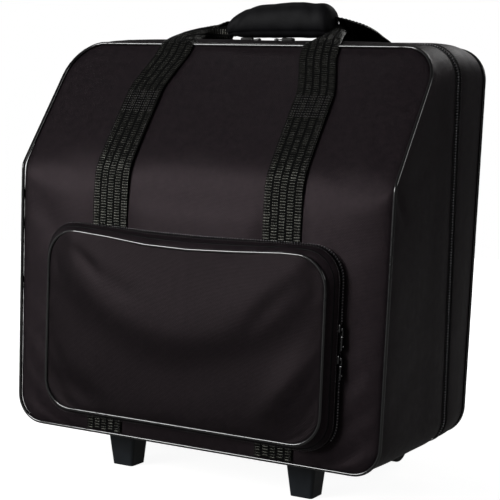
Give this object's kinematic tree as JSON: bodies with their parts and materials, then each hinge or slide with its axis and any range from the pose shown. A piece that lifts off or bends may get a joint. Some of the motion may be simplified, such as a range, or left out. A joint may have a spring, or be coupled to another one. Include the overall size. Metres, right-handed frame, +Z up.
{
  "type": "accordion case",
  "caption": "Soft padded accordion case with a sloping front, zipped hinged back, outer pocket, wrapped grip, stand feet, wheels and pull-out handle.",
  "frame": {"origin": "middle of the case's footprint on the floor", "axes": "+Z up, front with the pocket towards -Y, wheels and pull-out handle towards +Y"},
  "size_m": [0.5252, 0.362, 0.6065],
  "materials": {
    "case_cloth": "woven nylon, matt",
    "welt_vinyl": "glossy vinyl welt",
    "webbing": "heavy woven webbing",
    "lining_cloth": "brushed lining",
    "zip_tape": "woven zipper tape",
    "zip_metal": "black enamelled zinc",
    "foot_plastic": "moulded, satin",
    "carriage_plastic": "moulded, fine grain",
    "button_plastic": "moulded",
    "tube_aluminium": "satin anodised",
    "steel": "zinc plated",
    "bush_plastic": "turned acetal",
    "tyre": "moulded rubber"
  },
  "bodies": {
    "front_shell": {"front_panel": "case_cloth", "shell_gusset": "case_cloth", "shell_lining": "lining_cloth", "front_piping": "welt_vinyl", "shell_zip_tape": "zip_tape", "cloth_hinge": "case_cloth", "front_carry_strap": "webbing", "grip_wrap": "case_cloth", "pocket_frame": "case_cloth", "pocket_zip_tape_back": "zip_tape", "foot_left": "foot_plastic", "foot_right": "foot_plastic", "foot_screws": "steel", "base_board": "lining_cloth", "inner_strap_left": "webbing", "inner_strap_right": "webbing"},
    "lid": {"back_panel": "case_cloth", "lid_gusset": "case_cloth", "lid_lining": "lining_cloth", "back_piping": "welt_vinyl", "lid_zip_tape": "zip_tape", "rear_carry_strap": "webbing", "grip_closing_flap": "case_cloth", "back_board": "lining_cloth", "wheel_base": "carriage_plastic", "axle_left": "steel", "axle_right": "steel", "outer_tubes": "tube_aluminium", "handle_bezel": "carriage_plastic", "back_screws": "steel"},
    "pocket_door": {"pocket_cover": "case_cloth", "pocket_piping": "welt_vinyl", "pocket_welt": "welt_vinyl", "pocket_zip_tape_front": "zip_tape"},
    "main_slider_left": {"main_slider_left": "zip_metal"},
    "main_slider_right": {"main_slider_right": "zip_metal"},
    "main_pull_left": {"main_pull_left": "zip_metal"},
    "main_pull_right": {"main_pull_right": "zip_metal"},
    "pocket_slider_upper": {"pocket_slider_upper": "zip_metal"},
    "pocket_slider_lower": {"pocket_slider_lower": "zip_metal"},
    "pocket_pull_upper": {"pocket_pull_upper": "zip_metal"},
    "pocket_pull_lower": {"pocket_pull_lower": "zip_metal"},
    "wheel_left": {"tyre_left": "tyre", "wheel_hub_left": "carriage_plastic", "wheel_bush_left": "bush_plastic"},
    "wheel_right": {"tyre_right": "tyre", "wheel_hub_right": "carriage_plastic", "wheel_bush_right": "bush_plastic"},
    "handle_middle": {"middle_tubes": "tube_aluminium", "tube_collars": "carriage_plastic"},
    "handle_top": {"inner_tubes": "tube_aluminium", "handle_grip": "carriage_plastic"},
    "release_button": {"release_button": "button_plastic"}
  },
  "joints": [
    {"name": "lid_hinge", "type": "hinge", "parent": "front_shell", "child": "lid", "pos_m": [0, 0.053, 0.055], "axis": [-1, 0, 0], "range_deg": [0, 90]},
    {"name": "pocket_hinge", "type": "hinge", "parent": "front_shell", "child": "pocket_door", "pos_m": [0, -0.155, 0.0775], "axis": [1, 0, 0], "range_deg": [0, 90]},
    {"name": "main_slider_left_slide", "type": "slide", "parent": "front_shell", "child": "main_slider_left", "axis": [-1, 0, 0], "range_m": [0, 0.03]},
    {"name": "main_slider_right_slide", "type": "slide", "parent": "front_shell", "child": "main_slider_right", "axis": [1, 0, 0], "range_m": [0, 0.03]},
    {"name": "main_pull_left_swing", "type": "hinge", "parent": "main_slider_left", "child": "main_pull_left", "pos_m": [-0.013, 0.0248, 0.55862], "axis": [0, 0.9984, 0.0557], "range_deg": [0, 170]},
    {"name": "main_pull_right_swing", "type": "hinge", "parent": "main_slider_right", "child": "main_pull_right", "pos_m": [0.013, 0.0248, 0.55862], "axis": [0, -0.9984, -0.0557], "range_deg": [0, 170]},
    {"name": "pocket_slider_upper_slide", "type": "slide", "parent": "front_shell", "child": "pocket_slider_upper", "axis": [0, 0, 1], "range_m": [0, 0.05]},
    {"name": "pocket_slider_lower_slide", "type": "slide", "parent": "front_shell", "child": "pocket_slider_lower", "axis": [0, 0, -1], "range_m": [0, 0.03]},
    {"name": "pocket_pull_upper_swing", "type": "hinge", "parent": "pocket_slider_upper", "child": "pocket_pull_upper", "pos_m": [0.2071, -0.155, 0.223], "axis": [0, -1, 0], "range_deg": [0, 150]},
    {"name": "pocket_pull_lower_swing", "type": "hinge", "parent": "pocket_slider_lower", "child": "pocket_pull_lower", "pos_m": [0.2071, -0.155, 0.189], "axis": [0, -1, 0], "range_deg": [0, 100]},
    {"name": "wheel_left_spin", "type": "hinge", "parent": "lid", "child": "wheel_left", "pos_m": [-0.15, 0.151, 0.03], "axis": [1, 0, 0], "continuous": true},
    {"name": "wheel_right_spin", "type": "hinge", "parent": "lid", "child": "wheel_right", "pos_m": [0.15, 0.151, 0.03], "axis": [1, 0, 0], "continuous": true},
    {"name": "handle_middle_slide", "type": "slide", "parent": "lid", "child": "handle_middle", "axis": [0, 0, 1], "range_m": [0, 0.26]},
    {"name": "handle_top_slide", "type": "slide", "parent": "handle_middle", "child": "handle_top", "axis": [0, 0, 1], "range_m": [0, 0.24]},
    {"name": "release_button_press", "type": "slide", "parent": "handle_top", "child": "release_button", "axis": [0, 0, -1], "range_m": [0, 0.003], "stiffness_N_per_m": 500, "springref_m": -0.001}
  ]
}
